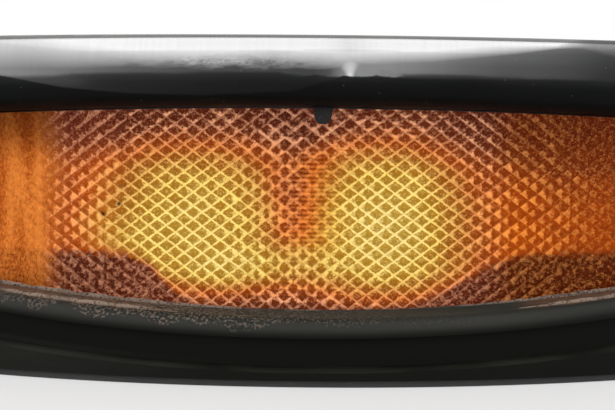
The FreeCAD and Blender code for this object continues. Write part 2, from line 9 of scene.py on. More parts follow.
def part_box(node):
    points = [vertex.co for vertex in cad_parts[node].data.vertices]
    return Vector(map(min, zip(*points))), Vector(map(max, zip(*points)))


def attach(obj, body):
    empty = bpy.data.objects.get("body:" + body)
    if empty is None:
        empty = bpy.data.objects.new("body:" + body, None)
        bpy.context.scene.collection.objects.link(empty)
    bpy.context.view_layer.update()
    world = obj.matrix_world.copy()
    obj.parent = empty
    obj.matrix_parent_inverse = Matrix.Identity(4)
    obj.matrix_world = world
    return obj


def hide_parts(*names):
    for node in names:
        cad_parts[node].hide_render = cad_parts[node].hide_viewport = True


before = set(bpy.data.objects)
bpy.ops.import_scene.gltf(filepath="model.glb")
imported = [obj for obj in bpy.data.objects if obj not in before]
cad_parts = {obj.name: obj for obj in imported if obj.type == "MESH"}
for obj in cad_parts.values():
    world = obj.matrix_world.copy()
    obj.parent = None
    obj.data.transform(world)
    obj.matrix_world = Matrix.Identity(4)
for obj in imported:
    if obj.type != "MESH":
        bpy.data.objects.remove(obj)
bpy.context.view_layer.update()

# Dresses the illuminated roof sign of a taxi cab: black hood with a rounded visor, curved amber prism lens
# lit by two bulbs, moulded base with a rounded sill. Metres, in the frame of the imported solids.

bl_info = {
    "name": "Taxi roof sign lamp",
    "version": (1, 0, 0),
    "blender": (4, 5, 0),
    "location": "3D View > Sidebar > Roof sign",
    "description": "Gives the roof sign its lens, finishes and small fittings",
    "category": "Object",
}

MM = 0.001
# Points nearer than these are one point: the first in a new mesh, the second in the copy of a solid.
TOUCH = 1e-7
WELD = 2e-6

# The curves that the hood, the lens and the sill share, in metres.
CURVE_CENTRE_Y = 0.335
VISOR_RADIUS = 0.466
LENS_RADIUS = 0.450
LENS_THICK = 0.0035
WINDOW_HALF = 0.1494
WINDOW_TOP = 0.1094
WINDOW_ARCH_RADIUS = 3.250
WINDOW_CORNER = 0.0134
BOW_RADIUS = 1.200
SEAT_LEVEL = 0.019
SILL_LEVEL = 0.026
LATTICE_LEVEL = 0.066
FLAT_RIM_RADIUS = 0.4655


# Sizes and colours a user may change.


class LensSettings(bpy.types.PropertyGroup):
    cell_width: FloatProperty(
        name="Cell width", description="Width of a prism's diamond", default=7.6 * MM, unit="LENGTH"
    )
    cell_height: FloatProperty(
        name="Cell height", description="Height of a prism's diamond", default=5.65 * MM, unit="LENGTH"
    )
    prism_height: FloatProperty(
        name="Prism height", description="How far a prism's point stands up", default=1.1 * MM, unit="LENGTH"
    )
    skin: FloatProperty(
        name="Skin", description="Thickness of the lens's smooth outer skin", default=0.7 * MM, unit="LENGTH"
    )
    glow: FloatProperty(
        name="Glow", description="Strength of the light through the lens", default=0.85, min=0.0
    )
    ember: FloatVectorProperty(
        name="Ember",
        description="Prisms in the unlit corners",
        default=(0.060, 0.009, 0.004),
        subtype="COLOR",
    )
    amber: FloatVectorProperty(
        name="Amber", description="Prisms beside the bulbs", default=(0.24, 0.040, 0.004), subtype="COLOR"
    )
    gold: FloatVectorProperty(
        name="Gold", description="Prisms over the bulbs", default=(0.40, 0.235, 0.025), subtype="COLOR"
    )
    net: FloatVectorProperty(
        name="Net",
        description="Bright lines between the prisms over the bulbs",
        default=(0.92, 0.72, 0.27),
        subtype="COLOR",
    )


class HoodSettings(bpy.types.PropertyGroup):
    paint: FloatVectorProperty(
        name="Paint", description="Colour of the hood", default=(0.006, 0.0065, 0.0065), subtype="COLOR"
    )
    dust: FloatVectorProperty(
        name="Dust", description="Colour of the dust on the hood", default=(0.16, 0.15, 0.13), subtype="COLOR"
    )
    dent_x: FloatProperty(
        name="Dent place", description="Dent from the middle", default=14.5 * MM, unit="LENGTH"
    )
    dent_level: FloatProperty(
        name="Dent height", description="Height of the dent", default=127.0 * MM, unit="LENGTH"
    )
    dent_depth: FloatProperty(
        name="Dent depth", description="Depth of the dent", default=0.5 * MM, unit="LENGTH"
    )


class BaseSettings(bpy.types.PropertyGroup):
    plastic: FloatVectorProperty(
        name="Plastic", description="Colour of the base", default=(0.0036, 0.0044, 0.0028), subtype="COLOR"
    )
    # The worn colour is also the painted light on the base's foot at the left.
    worn: FloatVectorProperty(
        name="Worn sill",
        description="Colour of the worn, dusty sill",
        default=(0.029, 0.029, 0.0245),
        subtype="COLOR",
    )
    grime: FloatVectorProperty(
        name="Grime",
        description="Colour of the dried grime along the lens",
        default=(0.52, 0.39, 0.30),
        subtype="COLOR",
    )
    bead_radius: FloatProperty(
        name="Grime bead", description="Radius of the grime along the lens", default=1.25 * MM, unit="LENGTH"
    )


class FittingSettings(bpy.types.PropertyGroup):
    slot_width: FloatProperty(
        name="Slot width", description="Width of the screws' cross slots", default=1.1 * MM, unit="LENGTH"
    )


class StageSettings(bpy.types.PropertyGroup):
    floor: FloatVectorProperty(
        name="Floor", description="Colour of the floor", default=(0.88, 0.88, 0.87), subtype="COLOR"
    )
    softbox: FloatProperty(
        name="Softbox", description="Power of the overhead softbox in watts", default=9.0, min=0.0
    )
    card: FloatProperty(
        name="Card",
        description="Power of the card that only shows in gloss, in watts",
        default=164.0,
        min=0.0,
    )
    paleness: FloatProperty(
        name="Paleness",
        description="How far the floor is shown white, under its shadow",
        default=0.55,
        min=0.0,
        max=1.0,
    )
    fill: FloatProperty(
        name="Fill", description="Strength of the even light from all round", default=0.40, min=0.0
    )


# Shader maths.


class Number:
    """A number socket that takes arithmetic: each step adds a Math node."""

    def __init__(self, build, socket):
        self.build = build
        self.socket = socket

    def step(self, operation, *others):
        sockets = dict(enumerate((self, *others)))
        node = self.build.node("ShaderNodeMath", {"operation": operation}, sockets)
        return Number(self.build, node.outputs[0])

    def __add__(self, other):
        return self.step("ADD", other)

    __radd__ = __add__

    def __mul__(self, other):
        return self.step("MULTIPLY", other)

    __rmul__ = __mul__

    def __sub__(self, other):
        return self.step("SUBTRACT", other)

    def __rsub__(self, other):
        return self * -1 + other

    def __truediv__(self, other):
        return self.step("DIVIDE", other)

    def __abs__(self):
        return self.step("ABSOLUTE")

    def least(self, other):
        return self.step("MINIMUM", other)

    def most(self, other):
        return self.step("MAXIMUM", other)

    def fraction(self):
        return self.step("FRACT")

    def whole(self):
        return self.step("FLOOR")

    def root(self):
        return self.step("SQRT")

    def bell(self, centre, spread):
        """1 at centre, falling off on both sides as a bell of that spread."""
        away = (self - centre) / spread
        return (away * away * -0.5).step("EXPONENT")

    def rise(self, low, high, start=0.0, end=1.0):
        """Start below low, end above high, smooth between."""
        values = {"Value": self, "From Min": low, "From Max": high, "To Min": start, "To Max": end}
        node = self.build.node("ShaderNodeMapRange", {"interpolation_type": "SMOOTHSTEP"}, values)
        return Number(self.build, node.outputs[0])

    def slope(self, low, high):
        """0 below low, 1 above high, straight between."""
        return ((self - low) / (high - low)).most(0.0).least(1.0)


class Nodes:
    """Clears a node tree and adds nodes to it."""

    def __init__(self, tree):
        self.tree = tree
        self.tree.nodes.clear()

    def node(self, kind, settings, sockets):
        """Adds a node: its settings first, then the values or links of its sockets."""
        node = self.tree.nodes.new(kind)
        for key, value in settings.items():
            if key == "stops":
                ramp = node.color_ramp
                for position, _ in value[1:-1]:
                    ramp.elements.new(position)
                for element, (position, color) in zip(ramp.elements, value):
                    element.position = position
                    element.color = (*color, 1.0)
            else:
                setattr(node, key, value)
        for key, value in sockets.items():
            socket = node.inputs[key]
            if isinstance(value, Number):
                self.tree.links.new(value.socket, socket)
            elif isinstance(value, bpy.types.NodeSocket):
                self.tree.links.new(value, socket)
            else:
                socket.default_value = value
        return node

    def seen(self):
        """1 for what the camera, a mirror or glass sees of the surroundings, 0 for the light they give."""
        path = self.node("ShaderNodeLightPath", {}, {})
        kinds = ("Is Camera Ray", "Is Glossy Ray", "Is Transmission Ray")
        camera, glossy, through = (Number(self, path.outputs[kind]) for kind in kinds)
        return camera.most(glossy).most(through)


class Finish(Nodes):
    """A procedural material: one Principled shader and the nodes that feed it."""

    def __init__(self, name, **constants):
        self.material = bpy.data.materials.new(name)
        self.material.use_nodes = True
        super().__init__(self.material.node_tree)
        values = {key.replace("_", " "): value for key, value in constants.items()}
        self.shader = self.node("ShaderNodeBsdfPrincipled", {}, values)
        self.output = self.node("ShaderNodeOutputMaterial", {}, {"Surface": self.shader.outputs[0]})
        self.place = self.node("ShaderNodeTexCoord", {}, {}).outputs["Object"]
        split = self.node("ShaderNodeSeparateXYZ", {}, {0: self.place})
        self.x, self.y, self.z = (Number(self, socket) * 1000 for socket in split.outputs)

    def noise(self, scale, detail=2.0, roughness=0.5, stretch=(1.0, 1.0, 1.0), shift=(0.0, 0.0, 0.0)):
        """Noise with scale bumps to the metre, about 0.5."""
        sockets = {"Vector": self.place, "Location": shift, "Scale": stretch}
        mapped = self.node("ShaderNodeMapping", {}, sockets)
        values = {"Vector": mapped.outputs[0], "Scale": scale, "Detail": detail, "Roughness": roughness}
        return Number(self, self.node("ShaderNodeTexNoise", {}, values).outputs[0])

    def grains(self, scale):
        """Distance from the nearest of many scattered points, scale to the metre, and its random value."""
        node = self.node("ShaderNodeTexVoronoi", {}, {"Vector": self.place, "Scale": scale})
        split = self.node("ShaderNodeSeparateColor", {}, {0: node.outputs["Color"]})
        return Number(self, node.outputs["Distance"]), Number(self, split.outputs[0])

    def normal_up(self):
        """How far the surface faces up, from -1 to 1."""
        geometry = self.node("ShaderNodeNewGeometry", {}, {})
        split = self.node("ShaderNodeSeparateXYZ", {}, {0: geometry.outputs["Normal"]})
        return Number(self, split.outputs[2])

    def ramp(self, value, *stops):
        """A colour that follows a value through stops of place and colour."""
        return self.node("ShaderNodeValToRGB", {"stops": stops}, {0: value}).outputs[0]

    def along_x(self, *stops):
        """A number that follows x, in mm, through stops of place and level."""
        places, levels = zip(*stops)
        start, span = places[0], places[-1] - places[0]
        lowest, climb = min(levels), max(levels) - min(levels)
        gray = [((place - start) / span, ((level - lowest) / climb,) * 3) for place, level in stops]
        split = self.node("ShaderNodeSeparateColor", {}, {0: self.ramp((self.x - start) / span, *gray)})
        return Number(self, split.outputs[0]) * climb + lowest

    def blend(self, factor, first, second, kind="MIX"):
        """The first colour, going to the second, or to the two multiplied, as the factor rises to 1."""
        settings = {"data_type": "RGBA", "blend_type": kind}
        first, second = (self.four(color) for color in (first, second))
        node = self.node("ShaderNodeMix", settings, {0: factor, 6: first, 7: second})
        return node.outputs[2]

    @staticmethod
    def four(color):
        """A colour with its alpha, or a link to one as it is."""
        return color if isinstance(color, bpy.types.NodeSocket) else (*color, 1.0)

    def scaled(self, color, factor):
        """A colour times a number."""
        sockets = {0: color, "Scale": factor}
        return self.node("ShaderNodeVectorMath", {"operation": "SCALE"}, sockets).outputs[0]

    def feed(self, **values):
        """Links values to the Principled shader's sockets; an underscore stands for a blank."""
        for key, value in values.items():
            socket = self.shader.inputs[key.replace("_", " ")]
            self.tree.links.new(value.socket if isinstance(value, Number) else value, socket)

    def bump(self, height, distance, strength=1.0):
        """Roughens the surface by a height from 0 to 1 that stands for a distance in metres."""
        values = {"Height": height, "Distance": distance, "Strength": strength}
        self.feed(Normal=self.node("ShaderNodeBump", {}, values).outputs[0])
        return self


# Meshes.


def piece(name, bm, material, slot, *replaced, sharp=None):
    """Makes the mesh an object that rides on the sign and stands for the replaced solids.

    Edges over the sharp angle, in degrees, stay sharp and the rest is smooth; without one, all is flat."""
    if sharp is not None:
        for face in bm.faces:
            face.smooth = True
        for edge in bm.edges:
            edge.smooth = edge.calc_face_angle(math.pi) < math.radians(sharp)
    mesh = bpy.data.meshes.new(name)
    bm.to_mesh(mesh)
    bm.free()
    # A solid's copy brings the solid's own normals, which would overrule the smooth ones.
    spare = mesh.attributes.get("custom_normal")
    if spare is not None:
        mesh.attributes.remove(spare)
    mesh.materials.clear()
    mesh.materials.append(material)
    made = bpy.data.objects.new(name, mesh)
    bpy.context.scene.collection.objects.link(made)
    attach(made, "root")
    if replaced:
        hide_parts(*replaced)


def merged_copy(node):
    """A copy of a solid's mesh with its triangles joined."""
    bm = bmesh.new()
    bm.from_mesh(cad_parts[node].data)
    bmesh.ops.remove_doubles(bm, verts=bm.verts, dist=WELD)
    return bm


def dress(node, material):
    """Gives a solid that is shown as it is its material."""
    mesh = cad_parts[node].data
    mesh.materials.clear()
    mesh.materials.append(material)


def bow(x, level):
    """The height at x of a level that rises to both sides on the bow radius."""
    return level + BOW_RADIUS - math.sqrt(BOW_RADIUS**2 - x**2)


def on_curve(x, radius):
    """The y at x of an upright curve about the shared centre."""
    return CURVE_CENTRE_Y - math.sqrt(radius**2 - x**2)


def wrap(bm, radius):
    """Bends a flat sheet, drawn at y 0 with its front at negative y, on to the curve of that radius."""
    for vert in bm.verts:
        vert.co.y = on_curve(vert.co.x, radius - vert.co.y)


def window_trim(bm, grow=0.0):
    """Cuts a flat sheet to the lens's outline, and that larger by grow.

    Its foot lies on the bow, its sides are straight, its top is arched and its upper corners are round."""
    arch_cuts, corner_cuts = 6, 8
    half, top, corner = WINDOW_HALF + grow, WINDOW_TOP + grow, WINDOW_CORNER + grow
    cuts = [(Vector((side * half, 0, 0)), Vector((side, 0, 0))) for side in (-1, 1)]
    for step in range(-arch_cuts, arch_cuts + 1):
        x = step / arch_cuts * half
        slope = x / WINDOW_ARCH_RADIUS
        level = top - x**2 / (2 * WINDOW_ARCH_RADIUS)
        cuts.append((Vector((x, 0, level)), Vector((slope, 0, 1))))
        cuts.append((Vector((x, 0, bow(x, SEAT_LEVEL))), Vector((x / BOW_RADIUS, 0, -1))))
    arch_drop = half**2 / (2 * WINDOW_ARCH_RADIUS)
    for side in (-1, 1):
        middle = Vector((side * (half - corner), 0, top - arch_drop - corner))
        for step in range(1, corner_cuts):
            turn = math.radians(step / corner_cuts * 90)
            away = Vector((side * math.cos(turn), 0, math.sin(turn)))
            cuts.append((middle + away * corner, away))
    for point, away in cuts:
        geom = [*bm.verts, *bm.edges, *bm.faces]
        bmesh.ops.bisect_plane(bm, geom=geom, dist=TOUCH, plane_co=point, plane_no=away, clear_outer=True)


def turned(profile, steps):
    """A body from a profile of radius and height pairs, turned about the z axis."""
    bm = bmesh.new()
    verts = [bm.verts.new((radius, 0, height)) for radius, height in profile]
    edges = [bm.edges.new(pair) for pair in zip(verts, verts[1:])]
    geom = [*verts, *edges]
    bmesh.ops.spin(bm, geom=geom, cent=(0, 0, 0), axis=(0, 0, 1), angle=math.tau, steps=steps, use_merge=True)
    bmesh.ops.remove_doubles(bm, verts=bm.verts, dist=TOUCH)
    return bm


def join(target, other):
    """Adds one mesh to another."""
    mesh = bpy.data.meshes.new("spare")
    other.to_mesh(mesh)
    other.free()
    target.from_mesh(mesh)
    bpy.data.meshes.remove(mesh)


# The hood.


def hood_paint(settings):
    """Black gloss whose coat paints the reflections: whole on the visor's brow and low below a line that runs
    along its face.
    """
    paint = Finish("hood_gloss_black", Specular_IOR_Level=0.05, Coat_IOR=2.4, Coat_Roughness=0.12)
    x, y, z = paint.x, paint.y, paint.z
    dent, foot = settings.dent_x / MM, 122.6
    mottle = paint.noise(24.0, 4.0)
    fine = paint.noise(900.0, 3.0)
    # Along the visor, left to right as the lens is seen: the levels in mm where the dark foot of the painted
    # reflection ends, where the painted reflection starts to rise and where it is whole, and how strong the
    # painted sheen is between them.
    line = paint.along_x(
        (-130, 122.0), (-115, 119.4), (-102, 117.1), (-88, 115.8), (-73, 114.8), (-43, 114.2), (-8, 116.2),
        (0, 118.6), (7, 120.6), (12, 122.0), (46, 121.4), (130, 121.2),
    )
    clear = paint.along_x(
        (-130, 116.7), (-115, 119.5), (-102, 121.3), (-73, 124.3), (-43, 123.8), (-17, 124.6), (0, 123.8),
        (14, 123.5), (46, 126.2), (74, 129.8), (99, 133.9), (109, 134.1), (119, 131.3), (130, 129.8),
    )
    full = paint.along_x(
        (-130, 153.5), (-115, 149.0), (-102, 142.4), (-73, 135.8), (-43, 135.2), (-17, 136.6), (0, 135.6),
        (14, 135.0), (46, 135.8), (74, 137.8), (99, 136.7), (109, 141.5), (119, 165.0), (130, 175.0),
    )
    sheen = paint.along_x(
        (-130, 0.21), (-115, 0.17), (-102, 0.14), (-88, 0.105), (-73, 0.078), (-43, 0.044), (-17, 0.037),
        (0, 0.034), (6, 0.05), (12, 0.18), (18, 0.21), (30, 0.20), (46, 0.14), (60, 0.09), (74, 0.062),
        (99, 0.036), (119, 0.009), (130, 0.008),
    )
    # The edge of the painted reflection is ragged left of the middle, and the painted reflection on the brow
    # is a little weaker over the dent.
    ragged = (paint.noise(190.0, 4.0, 0.65, stretch=(0.5, 1.0, 2.0)) - 0.5) * x.bell(-28.0, 34.0) * 7.0
    brow = z.slope(clear + ragged, full).least(0.67) * z.rise(131.5, 139.0, 1.0, 0.70)
    brow = brow * (1 - x.bell(dent, 5.0) * z.rise(129.0, 133.0) * 0.15)
    low_sheen = x.rise(-84.0, -100.0) * z.bell(119.4, 1.7) * 0.12
    streak = paint.noise(26.0, 3.0, stretch=(24.0, 1.0, 2.2)) - 0.5
    # Two worn places break the gloss up.
    worn = paint.noise(620.0, 3.0, 0.7, stretch=(1.0, 1.0, 2.2)) - 0.5
    worn = worn * (x.bell(-44.0, 8.0) + x.bell(-20.0, 9.0)) * z.bell(127.0, 1.3) * 2.6
    lift = z.rise(126.0, 131.0) * (0.5 - x.bell(dent, 5.0) * 0.38)
    # Over the dent a painted spark of light opens and fades upwards from its foot.
    spark = x.bell(dent - 0.3, (z - foot).most(0.0) * 0.46 + 1.3) * z.rise(foot + 1.4, foot - 1.0, 0.52, 0.66)
    spark = spark * z.rise(131.0, 124.0, 0.62, 1.0)
    # The visor's face: the painted reflection, fed to the coat.
    front = brow.most(sheen * (lift + 1.0)).most(spark) + low_sheen
    front = front * z.rise(line - 0.45, line + 0.45) * (1.0 + streak * 0.14) * (worn + 1.0)
    # Behind the visor's curved front, and round its ends, the gloss is low and even.
    back = y - CURVE_CENTRE_Y / MM
    roof = (back * back + x * x).root().rise(451.0, 440.0).most(abs(x).rise(132.0, 172.0))
    gloss = front * (1 - roof) + roof * 0.055
    dust = paint.normal_up().rise(0.3, 1.0) * mottle.rise(0.40, 0.75) * 0.30
    near, pick = paint.grains(420.0)
    speck = near.rise(0.10, 0.16, 1.0, 0.0) * pick.rise(0.90, 0.92)
    color = paint.blend(dust + speck * 0.5, settings.paint, settings.dust)
    rough = 0.30 + mottle.rise(0.3, 0.8) * 0.18 + fine * 0.06
    paint.feed(Base_Color=color, Roughness=rough, Coat_Weight=gloss)
    paint.bump(fine * 0.3 + mottle + speck * 0.8, 0.05 * MM, 0.4)
    return paint.material


def cut_finer(bm, low, high, step, axis):
    """Cuts the faces that reach between low and high across an axis, at each step, to be pressed in."""
    count = round((high[axis] - low[axis]) / step)
    aim = Vector([float(index == axis) for index in range(3)])
    for number in range(count + 1):
        inside = [
            face
            for face in bm.faces
            if all(
                low[index] < max(vert.co[index] for vert in face.verts)
                and min(vert.co[index] for vert in face.verts) < high[index]
                for index in range(3)
            )
        ]
        around = {part for face in inside for part in (*face.verts, *face.edges)}
        place = aim * (low[axis] + number * step)
        bmesh.ops.bisect_plane(bm, geom=[*around, *inside], dist=TOUCH, plane_co=place, plane_no=aim)


class ROOFSIGN_OT_hood(bpy.types.Operator):
    """Make the smooth black hood, with the dent in its visor"""

    bl_idname = "roof_sign.hood"
    bl_label = "Hood"

    def execute(self, context):
        settings = context.scene.roof_sign_hood
        bm = merged_copy("hood_shell")
        centre = Vector((settings.dent_x, on_curve(settings.dent_x, VISOR_RADIUS), settings.dent_level))
        # The faces round the dent are cut finer first.
        low, high = centre - Vector((0.018, 0.010, 0.009)), centre + Vector((0.018, 0.008, 0.009))
        for axis, step in ((0, 1.5 * MM), (2, 1.2 * MM)):
            cut_finer(bm, low, high, step, axis)
        spread = Vector((6.0, 8.0, 4.0)) * MM
        for vert in bm.verts:
            away = vert.co - centre
            reach = (away.x / spread.x) ** 2 + (away.y / spread.y) ** 2 + (away.z / spread.z) ** 2
            vert.co.y += settings.dent_depth * math.exp(-reach)
        piece("hood", bm, hood_paint(settings), "gloss_black", "hood_shell", sharp=32)
        return {"FINISHED"}


# The base.


def base_plastic(settings):
    """Dull black. The rounded sill is worn pale and specked with dry dirt, and painted light makes the foot
    paler at the left.
    """
    plastic = Finish("base_satin_black", Specular_IOR_Level=0.04)
    x, y = plastic.x, plastic.y
    # The height over the bow's lowest line, which the sill and the seat follow.
    level = plastic.z - x * x / (2 * BOW_RADIUS / MM)
    lying_dust, rim_red_brown, pit_black = (0.10, 0.09, 0.075), (0.20, 0.105, 0.065), (0.004, 0.004, 0.004)
    painted_cool_tint = (0.92, 1.14, 1.10)
    mottle = plastic.noise(30.0, 4.0)
    fine = plastic.noise(1400.0, 2.0)
    streaks = plastic.noise(60.0, 3.0, stretch=(1.0, 1.0, 9.0))
    # Wear, dirt and the painted light on the foot keep to the front.
    front = y.rise(-62.0, -86.0, 0.0, 1.0)
    sill = level.rise(18.9, 22.0) * front * (1 - x.rise(70.0, 128.0) * 0.55) * (0.78 + mottle * 0.4)
    # Painted light on the foot at the left, broken by streaks.
    foot = level.rise(9.0, 7.0, 0.0, 1.0) * front * x.rise(-20.0, -130.0, 0.0, 1.0) * (0.22 + streaks * 0.5)
    lie = plastic.normal_up().rise(0.2, 0.95) * mottle.rise(0.25, 0.8) * 0.16
    # Dirt as fine as lichen spreads down from the lens in patches.
    patch = plastic.noise(75.0, 3.0, shift=(2.0, 0.0, 0.0)) - 0.5
    strewn = (level - 22.4 + patch * 15.0).rise(0.0, 1.6) * x.bell(-66.0, 50.0) * front
    fleck = plastic.noise(820.0, 2.0, 0.6)
    speck = fleck.rise(0.50, 0.60) * strewn
    pit = fleck.rise(0.47, 0.39) * strewn
    color = plastic.blend((sill + foot).least(1.0), settings.plastic, settings.worn)
    color = plastic.blend(lie * (1 - sill), color, lying_dust)
    # The flat rim before the lens turns red-brown in blotches towards its ends.
    back = y - CURVE_CENTRE_Y / MM
    rim = (back * back + x * x).root().rise(468.5, 466.0) * front * level.rise(20.0, 21.5)
    rim_blotches = plastic.noise(420.0, 3.0, 0.7, stretch=(0.22, 1.0, 1.0)).rise(0.30, 0.62)
    ends = (x.rise(-46.0, -84.0) + x.rise(80.0, 104.0)) * rim
    # The cool tint on the rim is painted against the warm light that the lens throws on it.
    color = plastic.blend(rim * 0.9, color, painted_cool_tint, "MULTIPLY")
    color = plastic.blend(ends * (rim_blotches * 0.8 + 0.2), color, rim_red_brown)
    color = plastic.blend(pit * 0.65, color, pit_black)
    color = plastic.blend(speck * 0.42, color, settings.grime)
    plastic.feed(Base_Color=color, Roughness=0.46 + mottle * 0.16)
    plastic.bump(fine * 0.5 + mottle + speck * 1.5, 0.06 * MM, 0.6)
    return plastic.material


def grime_coat(settings):
    """Dry grime, pale where it is thick and dark brown under it, thinnest right of the middle."""
    grime = Finish("dried_grime", Specular_IOR_Level=0.1)
    under = (0.05, 0.022, 0.014)
    fine = grime.noise(900.0, 4.0)
    patch = grime.noise(60.0, 3.0)
    middle = grime.x.bell(24.0, 42.0)
    cover = patch.rise(0.25, 0.6) * fine.rise(0.3, 0.55) * (1 - middle * 0.7)
    grime.feed(Base_Color=grime.blend(cover, under, settings.grime), Roughness=0.8 + fine * 0.1)
    grime.bump(fine, 0.2 * MM)
    return grime.material


def grime_bead(section_radius, radius, start, end):
    """A rough bead on the sill, along the upright curve of that radius from start to end.

    It is thinnest right of the middle, thickest to the sides, and tapers at its two ends."""
    sections, steps = 8, round((end - start) / (1.1 * MM))
    thin_x, thick_reach, taper_length = 18.0 * MM, 90.0 * MM, 22.0 * MM
    bm = bmesh.new()
    ring = bmesh.ops.create_circle(bm, cap_ends=False, radius=section_radius, segments=sections)["verts"]
    bmesh.ops.transform(bm, matrix=Matrix.Rotation(math.radians(90), 4, "Y"), verts=ring)
    bmesh.ops.translate(bm, vec=(0, CURVE_CENTRE_Y - radius, 0), verts=ring)
    centre = Vector((0, CURVE_CENTRE_Y, 0))
    turn = math.asin(start / radius)
    bmesh.ops.rotate(bm, cent=centre, matrix=Matrix.Rotation(turn, 3, "Z"), verts=ring)
    sweep = math.asin(end / radius) - turn
    geom = [*bm.verts, *bm.edges]
    bmesh.ops.spin(bm, geom=geom, cent=centre, axis=(0, 0, 1), angle=sweep, steps=steps, use_merge=False)
    bmesh.ops.holes_fill(bm, edges=[edge for edge in bm.edges if edge.is_boundary], sides=sections)
    for vert in bm.verts:
        middle = Vector((vert.co.x, on_curve(vert.co.x, radius), 0))
        rough = noise.noise(vert.co * 180) + 0.6 * noise.noise(vert.co * 700)
        side = min(abs(vert.co.x - thin_x) / thick_reach, 1.0)
        to_end = min(vert.co.x - start, end - vert.co.x)
        taper = min(1.0, 0.2 + to_end / taper_length)
        vert.co = middle + (vert.co - middle) * (0.30 + 0.70 * side * side) * (1 + 0.45 * rough) * taper
        vert.co.z += bow(vert.co.x, SILL_LEVEL)
    bmesh.ops.recalc_face_normals(bm, faces=bm.faces)
    return bm


class ROOFSIGN_OT_base(bpy.types.Operator):
    """Make the base's smooth skin and the line of dried grime where the lens stands in it"""

    bl_idname = "roof_sign.base"
    bl_label = "Base"

    def execute(self, context):
        settings = context.scene.roof_sign_base
        base = merged_copy("base_moulding")
        piece("base", base, base_plastic(settings), "satin_black", "base_moulding", sharp=32)
        # One line of grime along the lens's foot, and one at each end of the flat rim before it.
        grime = grime_bead(settings.bead_radius, LENS_RADIUS + 0.3 * MM, -WINDOW_HALF, WINDOW_HALF)
        for start, end in ((-0.150, -0.052), (0.084, 0.150)):
            join(grime, grime_bead(settings.bead_radius * 0.95, FLAT_RIM_RADIUS, start, end))
        piece("lens_foot_grime", grime, grime_coat(settings), "satin_black", sharp=60)
        return {"FINISHED"}


# The lens.


